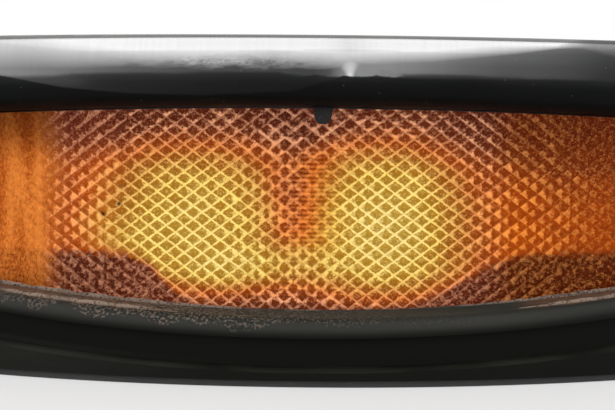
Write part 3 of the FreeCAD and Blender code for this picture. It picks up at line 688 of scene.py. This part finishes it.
def lens_light(settings):
    """The prisms' glow: two warm fields over the bulbs, red-brown beside them, and dirt at the foot.

    Places and spreads are in mm, x from the middle of the sign and z from the roof."""
    glow = Finish("lens_amber_prisms", Specular_IOR_Level=0.0, Roughness=0.5, Emission_Strength=settings.glow)
    x, z = glow.x, glow.z
    # Where the light of each bulb shows; the two sides aren't quite alike.
    left_x, right_x, bulb_z = -50.0, 33.0, 62.0
    # How strongly the bulbs shine through at each place, with the plain light between and beside them.
    left_field = x.bell(left_x, 27.0) * z.bell(bulb_z, 27.0) * 0.60
    right_field = x.bell(right_x - 2.0, 27.0) * z.bell(bulb_z - 2.0, 28.0) * 0.70
    low_field = x.bell(-33.0, 14.0) * z.bell(43.0, 6.0) * 0.22
    low_field = low_field + x.bell(-82.0, 13.0) * z.bell(55.0, 9.0) * 0.12
    right_end = x.rise(68.0, 88.0)
    sides = x.rise(-74.0, -92.0) + right_end
    ends = x.rise(-100.0, -122.0, 0.0, 0.14) - x.rise(38.0, 64.0) * 0.08
    ends = ends + right_end * (0.12 - z.rise(60.0, 94.0) * 0.16)
    # Towards the top the glow fades: less light from the bulbs, and painted shade from the visor.
    spread_light = (ends + 0.30) * z.rise(106.0, 80.0, 0.0, 1.0) * z.rise(27.0, 44.0)
    between_bulbs = x.bell(-7.0, 9.0) * z.rise(46.0, 62.0) * z.rise(76.0, 96.0, 0.34, 0.10)
    heat = left_field + right_field + low_field + spread_light - between_bulbs
    # Place within a cell, from -0.5 to 0.5 along each of its two directions.
    cell_x, cell_z = settings.cell_width / MM, settings.cell_height / MM
    along, up = x / cell_x, (z - LATTICE_LEVEL / MM) / cell_z
    first, second = along + up, along - up
    in_first, in_second = first.fraction() - 0.5, second.fraction() - 0.5
    off_x, off_z = (in_first + in_second) * (cell_x / 2), (in_first - in_second) * (cell_z / 2)
    rim = abs(in_first).most(abs(in_second))
    cell = glow.node("ShaderNodeCombineXYZ", {}, {0: first.whole(), 1: second.whole(), 2: 0.0}).outputs[0]
    white_noise = glow.node("ShaderNodeTexWhiteNoise", {"noise_dimensions": "3D"}, {"Vector": cell})
    luck = Number(glow, white_noise.outputs[0]) - 0.5
    ripple = glow.noise(760.0, 2.0) - 0.5
    grain = glow.noise(1700.0, 2.0) - 0.5
    # Each cell is bright at the side that faces a bulb, and its edges are bright over a bulb.
    spots, over = 0.0, 0.0
    for bulb_x in (left_x, right_x):
        to_x, to_z = bulb_x - x, bulb_z - z
        reach = (to_x * to_x + to_z * to_z).root()
        towards = (off_x * to_x + off_z * to_z) / ((reach + 5.0) * 2.4)
        strength = reach.rise(10.0, 44.0) * reach.rise(118.0, 40.0, 0.0, 1.0)
        strength = strength * (1 - sides * z.rise(72.0, 94.0) * 0.45) * (luck * 0.5 + 1.0)
        lit = (towards + ripple * 0.8 + luck * 0.3).rise(0.25 - sides * 0.20, 0.95 - sides * 0.30)
        spots = lit * strength + spots
        over = reach.rise(58.0, 18.0, 0.0, 1.0) + over
    over = over.least(1.0)
    uneven = rim + ripple * 0.16 + grain * 0.10 + luck * 0.02
    net = uneven.rise(0.345, 0.445) * (over * 0.78 + 0.16)
    # A second, fainter line inside each cell, where its prism is seen twice.
    twin = (rim + ripple * 0.10).bell(0.215, 0.035) * glow.noise(210.0, 2.0).rise(0.46, 0.62) * over * 0.34
    point = rim.rise(0.12, 0.04, 0.0, 1.0) * over * 0.18
    bright = net.most(spots).most(point).most(twin) + (ripple * 1.25 + grain * 1.15 - 0.06) * (1 - net * 0.6)
    # Between the bulbs the prisms blur into one another, in fine level lines.
    line_pitch = 1.9
    blur = x.bell(-0.5, 7.5) * z.rise(44.0, 58.0) * z.rise(98.0, 84.0)
    level_line = (z / line_pitch + ripple * 0.4).fraction().bell(0.5, 0.17)
    bright = bright * (1 - blur * 0.5) + (0.68 - level_line * 0.85) * blur * 0.5
    flat_end = (x + ripple * 16.0).rise(-102.0, -118.0, 0.0, 0.94)
    # Dirt has crept up from the foot to a level line at both ends, and the middle of the top edge is darker.
    tide = glow.along_x(
        (-130, 48.0), (-78, 48.0), (-68, 44.0), (-58, 32.0), (-46, 27.0), (40, 26.5), (52, 31.0), (64, 38.0),
        (76, 44.0), (88, 48.0), (130, 48.5),
    )
    soil = (tide + (ripple + grain) * 9.0 - z).rise(-2.0, 2.0)
    darker_top_middle = x.bell(2.0, 9.0) * z.rise(96.0, 106.0)
    # The dirt mask also carries the darker middle of the top edge.
    dirt = (soil * x.rise(-104.0, -116.0, 0.9, 0.4)).most(darker_top_middle * 0.7)
    bright = bright * (1 - right_end * 0.15) * (1 - dirt * 0.75)
    bright = bright + (glow.noise(560.0, 3.0, 0.7).rise(0.44, 0.64) * (0.46 - right_end * 0.10) - 0.07) * dirt
    heat = (heat + luck * 0.05 + ripple * 0.10) * (1 - dirt) + dirt * 0.06
    cells = glow.ramp(
        heat,
        (0.0, tuple(settings.ember)),
        (0.20, (0.105, 0.017, 0.005)),
        (0.43, tuple(settings.amber)),
        (0.60, (0.27, 0.078, 0.007)),
        (0.80, (0.35, 0.165, 0.014)),
        (1.0, tuple(settings.gold)),
    )
    cells = glow.scaled(cells, sides * (1 - dirt * 1.6) * 0.38 + 1.0)
    lines = glow.ramp(
        heat,
        (0.0, (0.55, 0.24, 0.145)),
        (0.20, (0.76, 0.35, 0.19)),
        (0.43, (0.88, 0.32, 0.10)),
        (0.60, (0.79, 0.42, 0.115)),
        (0.80, (0.90, 0.67, 0.18)),
        (1.0, tuple(settings.net)),
    )
    color = glow.blend(bright.most(0.0).least(1.0), cells, lines)
    blur_tint, right_tint = (1.10, 0.90, 0.50), (1.0, 0.88, 0.44)
    color = glow.blend(blur * 0.8, color, blur_tint, "MULTIPLY")
    color = glow.blend(right_end, color, right_tint, "MULTIPLY")
    # The left end has no prisms: it is plain grained amber.
    plain_dark, plain_light = (0.43, 0.070, 0.004), (0.93, 0.28, 0.048)
    plain_grain = (glow.noise(1100.0, 3.0, 0.7, stretch=(1.0, 1.0, 0.5)) - 0.5) * (soil * 2.4 + 2.8)
    plain_grain = plain_grain + (glow.noise(150.0, 3.0, stretch=(1.0, 1.0, 0.12)) - 0.5) * 2.6 + 0.5
    plain = glow.blend(plain_grain.most(0.0).least(1.0), plain_dark, plain_light)
    plain = glow.scaled(plain, (heat * 1.09 + 0.22).most(0.1))
    color = glow.blend(flat_end, color, plain)
    # Two specks of tar on the left.
    speck_spread, tar = 0.7, (0.02, 0.006, 0.003)
    for speck_x, speck_z in ((-88.0, 64.5), (-81.0, 69.0)):
        color = glow.blend(x.bell(speck_x, speck_spread) * z.bell(speck_z, speck_spread), color, tar)
    glow.feed(Emission_Color=color, Base_Color=glow.scaled(color, 0.12))
    return glow.material


def lens_skin():
    """The clear outer skin, low in gloss after years of weather."""
    skin = Finish("lens_clear_skin", Transmission_Weight=1.0, IOR=1.06, Roughness=0.02)
    wave = skin.noise(45.0, 1.0, stretch=(1.0, 1.0, 0.25))
    skin.feed(Base_Color=skin.blend(wave, (1.0, 0.99, 0.97), (0.97, 0.95, 0.92)))
    skin.bump(wave, 0.10 * MM, 0.4)
    return skin.material


def backed_sheet(bm, depth):
    """Gives an open sheet a flat back at the depth, and closes the sides."""
    sheet = bmesh.ops.duplicate(bm, geom=[*bm.verts, *bm.edges, *bm.faces])["geom"]
    for vert in (item for item in sheet if isinstance(item, bmesh.types.BMVert)):
        vert.co.y = depth
    bmesh.ops.reverse_faces(bm, faces=[item for item in sheet if isinstance(item, bmesh.types.BMFace)])
    bmesh.ops.bridge_loops(bm, edges=[edge for edge in bm.edges if edge.is_boundary])
    bmesh.ops.recalc_face_normals(bm, faces=bm.faces)


class ROOFSIGN_OT_lens(bpy.types.Operator):
    """Make the lens: a field of small prisms under a smooth clear skin"""

    bl_idname = "roof_sign.lens"
    bl_label = "Lens"

    def execute(self, context):
        settings = context.scene.roof_sign_lens
        cells, gap, inset = 60, 0.1 * MM, 0.15 * MM
        bm = bmesh.new()
        bmesh.ops.create_grid(bm, x_segments=cells, y_segments=cells, size=cells / 2)
        turn = Matrix.Rotation(math.radians(45), 4, "Z")
        across, up = settings.cell_width / math.sqrt(2), settings.cell_height / math.sqrt(2)
        spread = Matrix.Diagonal((across, up, 1, 1))
        stand = Matrix.Rotation(math.radians(90), 4, "X")
        lift = Matrix.Translation((0, 0, LATTICE_LEVEL))
        bmesh.ops.transform(bm, matrix=lift @ stand @ spread @ turn, verts=bm.verts)
        bmesh.ops.recalc_face_normals(bm, faces=bm.faces)
        for face in bm.faces:
            if face.normal.y > 0:
                face.normal_flip()
        height = settings.prism_height
        bmesh.ops.poke(bm, faces=bm.faces, offset=height, center_mode="MEAN", use_relative_offset=False)
        window_trim(bm, -inset)
        bmesh.ops.translate(bm, vec=(0, height, 0), verts=bm.verts)
        backed_sheet(bm, LENS_THICK - settings.skin - gap)
        wrap(bm, LENS_RADIUS - settings.skin - gap)
        piece("lens_prisms", bm, lens_light(settings), "amber_lens", "lens")

        # A grid that covers the window, before it is trimmed.
        skin = bmesh.new()
        bmesh.ops.create_grid(skin, x_segments=72, y_segments=24, size=0.5)
        spread, lift = Matrix.Diagonal((0.32, 0.12, 1, 1)), Matrix.Translation((0, 0, 0.06))
        bmesh.ops.transform(skin, matrix=lift @ stand @ spread, verts=skin.verts)
        window_trim(skin)
        backed_sheet(skin, settings.skin)
        wrap(skin, LENS_RADIUS)
        piece("lens_skin", skin, lens_skin(), "amber_lens", sharp=40)
        return {"FINISHED"}


# Fittings.


def rubber_black():
    """Dull rubber with pale bloom in patches."""
    rubber = Finish("rubber_black", Specular_IOR_Level=0.3)
    fine = rubber.noise(1600.0, 3.0)
    mottle = rubber.noise(50.0, 3.0)
    rubber.feed(
        Base_Color=rubber.blend(mottle.rise(0.4, 0.8) * 0.4, (0.018, 0.018, 0.018), (0.07, 0.065, 0.06)),
        Roughness=0.72 + fine * 0.15,
    )
    return rubber.bump(fine, 0.08 * MM).material


def enamel_white():
    """White enamel that has yellowed, and is scorched brown behind the two bulbs."""
    enamel = Finish("enamel_white", Coat_Weight=0.3, Coat_Roughness=0.1)
    bulb_x, scorched = 46.0, (0.52, 0.40, 0.24)
    mottle = enamel.noise(20.0, 4.0)
    scorch = enamel.x.bell(-bulb_x, 18.0) + enamel.x.bell(bulb_x, 18.0)
    color = enamel.blend(mottle.rise(0.4, 0.8) * 0.5, (0.78, 0.76, 0.70), (0.60, 0.54, 0.42))
    enamel.feed(Base_Color=enamel.blend(scorch * 0.4, color, scorched), Roughness=0.3 + mottle * 0.2)
    return enamel.bump(mottle, 0.1 * MM, 0.4).material


def zinc_steel():
    """Zinc-plated steel with its spangle."""
    zinc = Finish("zinc_steel")
    _, pick = zinc.grains(150.0)
    mottle = zinc.noise(200.0, 3.0)
    color = zinc.blend(pick, (0.42, 0.43, 0.44), (0.62, 0.62, 0.60))
    zinc.feed(Base_Color=color, Roughness=0.32 + mottle * 0.25, Metallic=0.9 + mottle * 0.1)
    return zinc.bump(pick, 0.02 * MM, 0.3).material


def screw_steel():
    """Steel with spots of rust."""
    steel = Finish("screw_steel")
    fine = steel.noise(1200.0, 3.0)
    rust = steel.noise(500.0, 4.0).rise(0.50, 0.68)
    steel.feed(
        Base_Color=steel.blend(rust, (0.20, 0.20, 0.20), (0.16, 0.06, 0.025)),
        Roughness=0.35 + rust * 0.4,
        Metallic=1 - rust * 0.8,
    )
    return steel.bump(fine + rust, 0.04 * MM).material


def clip_black():
    """Dull black with brown dust in its grain."""
    clip = Finish("clip_dull_black", Specular_IOR_Level=0.1)
    fine = clip.noise(900.0, 3.0)
    color = clip.blend(fine.rise(0.5, 0.8), (0.006, 0.005, 0.005), (0.03, 0.02, 0.015))
    clip.feed(Base_Color=color, Roughness=0.5 + fine * 0.2)
    return clip.bump(fine, 0.05 * MM).material


# The screw's half outline in mm: radius, and height over the middle of its flat top.
SCREW_OUTLINE = (
    (0, -11.2), (1.9, -11.2), (2.0, -10.8), (2.0, -2.2), (4.5, -2.2), (4.35, -1.5), (3.6, -0.7), (2.6, -0.1),
)
SLOT_REACH = 1.55
FLAT_TOP_HALF = 1.8
SLOT_DEPTH = 1.3
SLOT_DRAFT = 0.7


def cross_screw(node, settings):
    """A domed screw with a cross slot in its head, where the solid of that name is."""
    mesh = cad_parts[node].data
    cap = max(mesh.polygons, key=lambda face: abs(face.center.x))
    axis, level = cap.normal.copy(), cap.center.dot(cap.normal)
    on_top = [vert for vert in mesh.vertices if abs(vert.co.dot(axis) - level) < 0.02 * MM]
    rim = {tuple(round(part, 6) for part in vert.co) for vert in on_top}
    top = sum((Vector(place) for place in rim), Vector()) / len(rim)
    bm = turned([(radius * MM, height * MM) for radius, height in SCREW_OUTLINE], 32)
    opening = [edge for edge in bm.edges if edge.is_boundary]
    # A plate of five by five faces, whose lines are moved to the slot's sides, its ends and the plate's rim.
    plate = bmesh.ops.create_grid(bm, x_segments=5, y_segments=5, size=2.5)["verts"]
    lines = (settings.slot_width / MM / 2, SLOT_REACH, FLAT_TOP_HALF)
    for vert in plate:
        for index in (0, 1):
            part = vert.co[index]
            vert.co[index] = math.copysign(lines[int(abs(part))], part) * MM
    faces = {face for vert in plate for face in vert.link_faces}
    slot = []
    for face in faces:
        near, far = sorted(abs(part) for part in face.calc_center_median()[:2])
        if near < settings.slot_width / 2 and far < SLOT_REACH * MM:
            slot.append(face)
    plate_rim = [edge for edge in {edge for face in faces for edge in face.edges} if edge.is_boundary]
    bmesh.ops.bridge_loops(bm, edges=[*opening, *plate_rim])
    sunk = bmesh.ops.extrude_face_region(bm, geom=slot)["geom"]
    bmesh.ops.delete(bm, geom=slot, context="FACES_ONLY")
    for vert in (part for part in sunk if isinstance(part, bmesh.types.BMVert)):
        vert.co = Vector((vert.co.x * SLOT_DRAFT, vert.co.y * SLOT_DRAFT, -SLOT_DEPTH * MM))
    bmesh.ops.recalc_face_normals(bm, faces=bm.faces)
    turn = axis.to_track_quat("Z", "Y").to_matrix().to_4x4()
    bmesh.ops.transform(bm, matrix=Matrix.Translation(top) @ turn, verts=bm.verts)
    return bm


def brass_dull():
    """Brass that has browned in patches."""
    brass = Finish("brass_dull")
    mottle = brass.noise(260.0, 4.0)
    brass.feed(
        Base_Color=brass.blend(mottle.rise(0.4, 0.75), (0.72, 0.50, 0.20), (0.32, 0.20, 0.08)),
        Roughness=0.28 + mottle * 0.25,
        Metallic=1.0 - mottle.rise(0.5, 0.9) * 0.3,
    )
    return brass.bump(mottle, 0.03 * MM).material


def bulb_glass():
    """Clear glass with a brown haze."""
    glass = Finish("bulb_clear_glass", Transmission_Weight=1.0, IOR=1.45)
    haze = glass.noise(120.0, 3.0)
    color = glass.blend(haze * 0.3, (1.0, 0.98, 0.94), (0.8, 0.75, 0.65))
    glass.feed(Base_Color=color, Roughness=0.02 + haze.rise(0.5, 0.9) * 0.12)
    return glass.material


def tapered_clip():
    """The lens clip, narrowed towards its foot."""
    taper, curve = 0.42, 1.5
    clip = merged_copy("lens_clip")
    low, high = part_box("lens_clip")
    middle = (low[0] + high[0]) / 2
    for vert in clip.verts:
        drop = (high[2] - vert.co.z) / (high[2] - low[2])
        vert.co.x = middle + (vert.co.x - middle) * (1 - taper * drop**curve)
    return clip


class ROOFSIGN_OT_fittings(bpy.types.Operator):
    """Finish the seals, the reflector, the bracket, the bulbs and the fixings"""

    bl_idname = "roof_sign.fittings"
    bl_label = "Fittings"

    def execute(self, context):
        settings = context.scene.roof_sign_fittings
        inserts = [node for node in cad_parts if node.startswith("mount_insert_")]
        finishes = {
            rubber_black(): ("hood_seal", "base_gasket", "lens_seal", "cable_grommet"),
            enamel_white(): ("reflector",),
            zinc_steel(): ("lamp_bracket", "bulb_holder_left", "bulb_holder_right"),
            brass_dull(): ("bulb_cap_left", "bulb_cap_right", *inserts),
            bulb_glass(): ("bulb_glass_left", "bulb_glass_right"),
        }
        for finish, nodes in finishes.items():
            for node in nodes:
                dress(node, finish)
        steel = screw_steel()
        for name in [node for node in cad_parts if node.startswith("hood_screw_")]:
            piece(f"cross_{name}", cross_screw(name, settings), steel, "screw_steel", name, sharp=30)
        piece("clip", tapered_clip(), clip_black(), "satin_black", "lens_clip", sharp=35)
        return {"FINISHED"}


# The stage.


# In metres: where the camera stands, and the two lamps' sizes, places and the points they face.
CAMERA_PLACE = (-0.002, -0.565, 0.106)
SOFTBOX_SIZE, SOFTBOX_PLACE, SOFTBOX_AIM = (1.8, 1.4), (0.0, -0.1, 1.5), (0.0, 0.0, 0.1)
CARD_SIZE, CARD_PLACE, CARD_AIM = (4.0, 2.34), (0.0, -0.45, 0.6375), (0.0, -0.143, 0.0084)
FLOOR_RADIUS = 6.0


def area_light(name, power, size, place, aim):
    """A rectangular lamp that faces the point aim and that the camera doesn't see."""
    lamp = bpy.data.lights.new(name, "AREA")
    lamp.shape = "RECTANGLE"
    lamp.energy = power
    lamp.size, lamp.size_y = size
    made = bpy.data.objects.new(name, lamp)
    bpy.context.scene.collection.objects.link(made)
    made.location = place
    made.rotation_euler = (Vector(aim) - Vector(place)).to_track_quat("-Z", "Y").to_euler()
    made.visible_camera = False
    return made


class ROOFSIGN_OT_camera(bpy.types.Operator):
    """Set up the camera in front of the lens, just under the visor's level and tilted down"""

    bl_idname = "roof_sign.camera"
    bl_label = "Camera"

    def execute(self, context):
        camera = bpy.data.cameras.new("camera")
        camera.sensor_width, camera.lens = 36.0, 64.3
        made = bpy.data.objects.new("camera", camera)
        context.scene.collection.objects.link(made)
        made.location = CAMERA_PLACE
        down, roll = math.radians(4.6), math.radians(0.5)
        turn = Matrix.Rotation(math.radians(90) - down, 4, "X") @ Matrix.Rotation(roll, 4, "Z")
        made.rotation_euler = turn.to_euler()
        context.scene.camera = made
        return {"FINISHED"}


class ROOFSIGN_OT_stage(bpy.types.Operator):
    """Set up the pale floor and the soft light"""

    bl_idname = "roof_sign.stage"
    bl_label = "Stage"

    def execute(self, context):
        settings = context.scene.roof_sign_stage
        bm = bmesh.new()
        bmesh.ops.create_circle(bm, cap_ends=True, radius=FLOOR_RADIUS, segments=96)
        mesh = bpy.data.meshes.new("floor")
        bm.to_mesh(mesh)
        bm.free()
        floor = bpy.data.objects.new("floor", mesh)
        context.scene.collection.objects.link(floor)
        pale = Finish("floor_pale", Roughness=0.9, Specular_IOR_Level=0.1)
        mottle = pale.noise(6.0, 2.0)
        shade = tuple(value * 0.97 for value in settings.floor)
        pale.feed(Base_Color=pale.blend(mottle, settings.floor, shade))
        white = pale.node("ShaderNodeEmission", {}, {"Color": (1.0, 1.0, 1.0, 1.0), "Strength": 1.0})
        shaders = {0: pale.seen() * settings.paleness, 1: pale.shader.outputs[0], 2: white.outputs[0]}
        mixed = pale.node("ShaderNodeMixShader", {}, shaders)
        pale.tree.links.new(mixed.outputs[0], pale.output.inputs["Surface"])
        mesh.materials.append(pale.material)

        world = bpy.data.worlds.new("studio")
        context.scene.world = world
        world.use_nodes = True
        studio = Nodes(world.node_tree)
        white = {"Color": (1.0, 1.0, 1.0, 1.0)}
        lit = studio.node("ShaderNodeBackground", {}, {**white, "Strength": settings.fill})
        shown = studio.node("ShaderNodeBackground", {}, {**white, "Strength": 1.0})
        shaders = {0: studio.seen(), 1: lit.outputs[0], 2: shown.outputs[0]}
        mixed = studio.node("ShaderNodeMixShader", {}, shaders)
        studio.node("ShaderNodeOutputWorld", {}, {"Surface": mixed.outputs[0]})

        area_light("softbox", settings.softbox, SOFTBOX_SIZE, SOFTBOX_PLACE, SOFTBOX_AIM)
        card = area_light("gloss_card", settings.card, CARD_SIZE, CARD_PLACE, CARD_AIM)
        card.visible_diffuse = False

        context.scene.view_settings.view_transform = "Standard"
        return {"FINISHED"}


# The add-on.


class ROOFSIGN_PT_panel(bpy.types.Panel):
    """Steps that dress the roof sign"""

    bl_label = "Roof sign"
    bl_idname = "ROOFSIGN_PT_panel"
    bl_space_type = "VIEW_3D"
    bl_region_type = "UI"
    bl_category = "Roof sign"

    def draw(self, context):
        for step in STEPS:
            self.layout.operator(step.bl_idname)
        for name in SETTINGS:
            box = self.layout.box()
            settings = getattr(context.scene, name)
            for key in type(settings).__annotations__:
                box.prop(settings, key)


SETTINGS = {
    "roof_sign_lens": LensSettings,
    "roof_sign_hood": HoodSettings,
    "roof_sign_base": BaseSettings,
    "roof_sign_fittings": FittingSettings,
    "roof_sign_stage": StageSettings,
}
STEPS = (
    ROOFSIGN_OT_camera,
    ROOFSIGN_OT_hood,
    ROOFSIGN_OT_base,
    ROOFSIGN_OT_lens,
    ROOFSIGN_OT_fittings,
    ROOFSIGN_OT_stage,
)


def register():
    for kind in (*SETTINGS.values(), *STEPS, ROOFSIGN_PT_panel):
        bpy.utils.register_class(kind)
    for name, kind in SETTINGS.items():
        setattr(bpy.types.Scene, name, PointerProperty(type=kind))


def unregister():
    for name in SETTINGS:
        delattr(bpy.types.Scene, name)
    for kind in reversed((*SETTINGS.values(), *STEPS, ROOFSIGN_PT_panel)):
        bpy.utils.unregister_class(kind)


def main():
    register()
    for step in STEPS:
        group, name = step.bl_idname.split(".")
        getattr(getattr(bpy.ops, group), name)()


if __name__ == "__main__":
    main()
